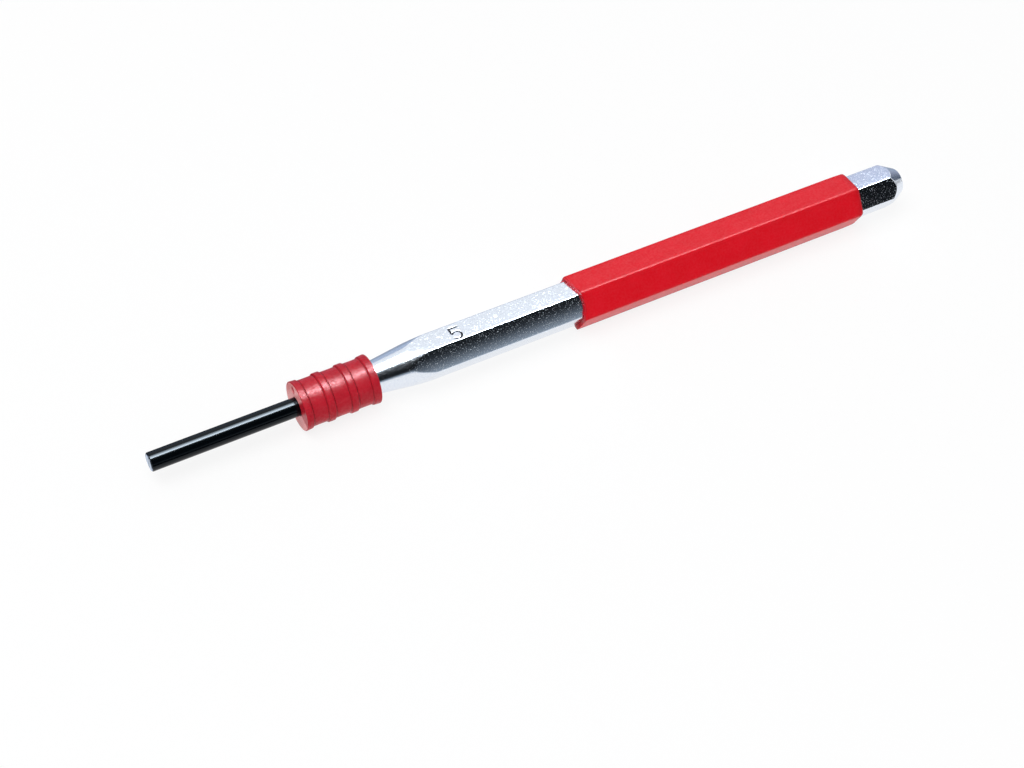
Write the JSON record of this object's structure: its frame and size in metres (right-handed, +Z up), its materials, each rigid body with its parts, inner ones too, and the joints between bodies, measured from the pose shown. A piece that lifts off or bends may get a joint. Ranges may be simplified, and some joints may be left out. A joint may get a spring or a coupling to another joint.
{
  "type": "pin punch",
  "caption": "Hexagonal steel pin punch with a long round pressed-in pin, a soft grip sleeve over the body and a ribbed rubber guide collar that slides along the pin.",
  "frame": {"origin": "on the floor under the middle of the punch's length, midway across it", "axes": "X along the punch from the pin's tip to the struck head, Y across it, Z up from the flat it lies on"},
  "size_m": [0.223, 0.015, 0.0132],
  "materials": {
    "plated_steel": "chrome plated over a lightly grained forged bar",
    "black_steel": "glossy black oxide on hardened steel, ground bright at the driving end",
    "red_vinyl": "smooth red vinyl with a soft sheen",
    "red_rubber": "satin moulded red rubber"
  },
  "bodies": {
    "punch": {"hex_body": "plated_steel", "drive_pin": "black_steel", "grip_sleeve": "red_vinyl"},
    "collar": {"guide_collar": "red_rubber"}
  },
  "joints": [
    {"name": "collar_slide", "type": "slide", "parent": "punch", "child": "collar", "axis": [-1, 0, 0], "range_m": [0, 0.062]}
  ]
}
